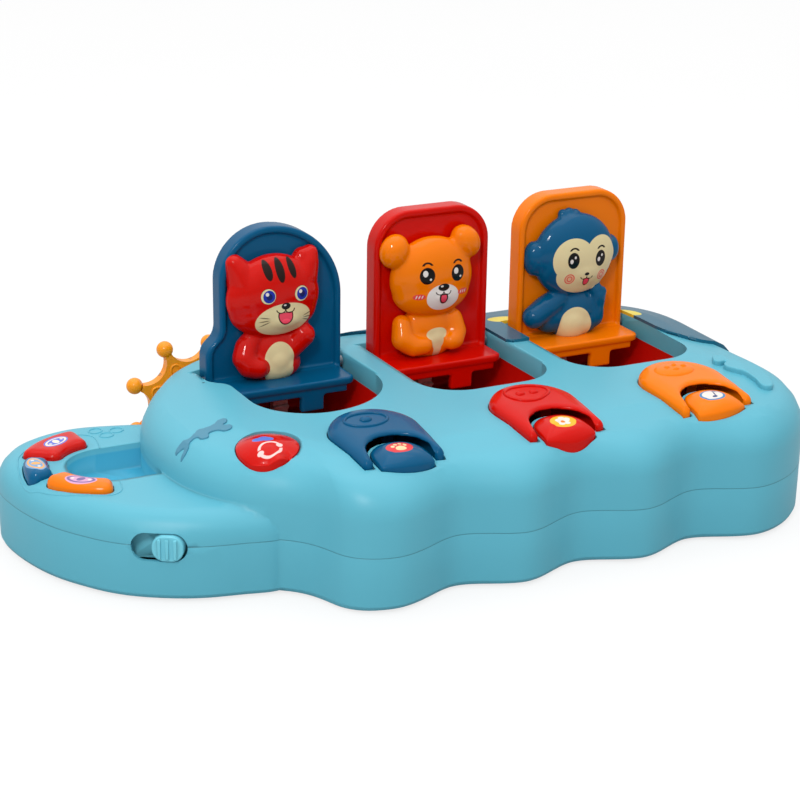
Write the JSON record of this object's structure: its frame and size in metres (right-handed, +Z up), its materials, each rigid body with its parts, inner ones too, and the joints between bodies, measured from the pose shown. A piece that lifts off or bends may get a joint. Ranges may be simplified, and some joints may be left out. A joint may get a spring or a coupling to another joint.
{
  "type": "pop up animal toy",
  "caption": "Baby toy shaped like a lying animal, with spring lids that carry animal figures, release keys, sound buttons, snout buttons and a slide switch.",
  "frame": {"origin": "middle of the footprint on the surface the toy stands on", "axes": "+X from the snout to the tail, -Y to the side with the keys, +Z up"},
  "size_m": [0.3798, 0.2121, 0.1334],
  "materials": {
    "shell_plastic": "satin light blue",
    "trim_plastic": "satin dark teal",
    "orange_plastic": "gloss orange",
    "red_plastic": "gloss red",
    "blue_plastic": "gloss dark blue",
    "inner_plastic": "plain off-white",
    "dark_plastic": "plain black",
    "spring_steel": "drawn wire",
    "pin_steel": "ground",
    "screw_steel": "plated",
    "foot_rubber": "matt",
    "board_laminate": "green laminate",
    "cell_case": "printed sleeve",
    "contact_plate": "nickel plated",
    "speaker_body": "black"
  },
  "bodies": {
    "case": {"top_shell": "shell_plastic", "bottom_tray": "shell_plastic", "spine_trim": "trim_plastic", "crown": "orange_plastic", "well_cup_1": "red_plastic", "well_cup_2": "red_plastic", "well_cup_3": "red_plastic", "key_spring_1": "spring_steel", "key_spring_2": "spring_steel", "key_spring_3": "spring_steel", "hinge_pins": "pin_steel", "lid_springs": "spring_steel", "switch_body": "dark_plastic", "case_screws": "screw_steel", "battery_door_screw": "screw_steel", "rubber_feet": "foot_rubber", "sound_switches": "board_laminate", "mode_switch": "board_laminate", "music_switches": "board_laminate", "main_board": "board_laminate", "battery_cells": "cell_case", "battery_contacts": "contact_plate", "battery_door": "shell_plastic", "speaker": "speaker_body"},
    "pop_lid_1": {"lid_1": "blue_plastic", "cat_figure": "red_plastic"},
    "key_1": {"release_key_1": "blue_plastic"},
    "latch_1": {"latch_bar_1": "inner_plastic"},
    "sound_1": {"sound_button_1": "blue_plastic"},
    "pop_lid_2": {"lid_2": "red_plastic", "dog_figure": "orange_plastic"},
    "key_2": {"release_key_2": "red_plastic"},
    "latch_2": {"latch_bar_2": "inner_plastic"},
    "sound_2": {"sound_button_2": "red_plastic"},
    "pop_lid_3": {"lid_3": "orange_plastic", "monkey_figure": "blue_plastic"},
    "key_3": {"release_key_3": "orange_plastic"},
    "latch_3": {"latch_bar_3": "inner_plastic"},
    "sound_3": {"sound_button_3": "orange_plastic"},
    "mode": {"mode_button": "red_plastic"},
    "music_red": {"music_button_red": "red_plastic"},
    "music_blue": {"music_button_blue": "blue_plastic"},
    "music_orange": {"music_button_orange": "orange_plastic"},
    "knob": {"switch_knob": "shell_plastic"}
  },
  "joints": [
    {"name": "lid_hinge_1", "type": "hinge", "parent": "case", "child": "pop_lid_1", "pos_m": [-0.0417, 0.0564, 0.0589], "axis": [1, 0, 0], "range_deg": [0, 90], "stiffness_Nm_per_rad": 0.04, "springref_deg": -22.92},
    {"name": "key_press_1", "type": "slide", "parent": "case", "child": "key_1", "axis": [0, 0, -1], "range_m": [0, 0.003], "stiffness_N_per_m": 400, "springref_m": -0.001, "deforming": ["key_spring_1"]},
    {"name": "latch_slide_1", "type": "slide", "parent": "case", "child": "latch_1", "axis": [0, 1, 0], "range_m": [0, 0.003]},
    {"name": "sound_press_1", "type": "slide", "parent": "case", "child": "sound_1", "axis": [0, 0, -1], "range_m": [0, 0.002], "stiffness_N_per_m": 300, "springref_m": -0.001},
    {"name": "lid_hinge_2", "type": "hinge", "parent": "case", "child": "pop_lid_2", "pos_m": [0.0405, 0.0564, 0.0589], "axis": [1, 0, 0], "range_deg": [0, 90], "stiffness_Nm_per_rad": 0.04, "springref_deg": -22.92},
    {"name": "key_press_2", "type": "slide", "parent": "case", "child": "key_2", "axis": [0, 0, -1], "range_m": [0, 0.003], "stiffness_N_per_m": 400, "springref_m": -0.001, "deforming": ["key_spring_2"]},
    {"name": "latch_slide_2", "type": "slide", "parent": "case", "child": "latch_2", "axis": [0, 1, 0], "range_m": [0, 0.003]},
    {"name": "sound_press_2", "type": "slide", "parent": "case", "child": "sound_2", "axis": [0, 0, -1], "range_m": [0, 0.002], "stiffness_N_per_m": 300, "springref_m": -0.001},
    {"name": "lid_hinge_3", "type": "hinge", "parent": "case", "child": "pop_lid_3", "pos_m": [0.1227, 0.0564, 0.0589], "axis": [1, 0, 0], "range_deg": [0, 90], "stiffness_Nm_per_rad": 0.04, "springref_deg": -22.92},
    {"name": "key_press_3", "type": "slide", "parent": "case", "child": "key_3", "axis": [0, 0, -1], "range_m": [0, 0.003], "stiffness_N_per_m": 400, "springref_m": -0.001, "deforming": ["key_spring_3"]},
    {"name": "latch_slide_3", "type": "slide", "parent": "case", "child": "latch_3", "axis": [0, 1, 0], "range_m": [0, 0.003]},
    {"name": "sound_press_3", "type": "slide", "parent": "case", "child": "sound_3", "axis": [0, 0, -1], "range_m": [0, 0.002], "stiffness_N_per_m": 300, "springref_m": -0.001},
    {"name": "mode_press", "type": "slide", "parent": "case", "child": "mode", "axis": [0, 0, -1], "range_m": [0, 0.002], "stiffness_N_per_m": 300, "springref_m": -0.001},
    {"name": "music_press_red", "type": "slide", "parent": "case", "child": "music_red", "axis": [0, 0, -1], "range_m": [0, 0.0015], "stiffness_N_per_m": 300, "springref_m": -0.001},
    {"name": "music_press_blue", "type": "slide", "parent": "case", "child": "music_blue", "axis": [0, 0, -1], "range_m": [0, 0.0015], "stiffness_N_per_m": 300, "springref_m": -0.001},
    {"name": "music_press_orange", "type": "slide", "parent": "case", "child": "music_orange", "axis": [0, 0, -1], "range_m": [0, 0.0015], "stiffness_N_per_m": 300, "springref_m": -0.001},
    {"name": "switch_slide", "type": "slide", "parent": "case", "child": "knob", "axis": [-0.8453, 0.5344, 0], "range_m": [0, 0.008]}
  ],
  "couplings": [
    {"joint": "latch_slide_1", "follows": "key_press_1", "ratio": 1},
    {"joint": "latch_slide_2", "follows": "key_press_2", "ratio": 1},
    {"joint": "latch_slide_3", "follows": "key_press_3", "ratio": 1}
  ]
}
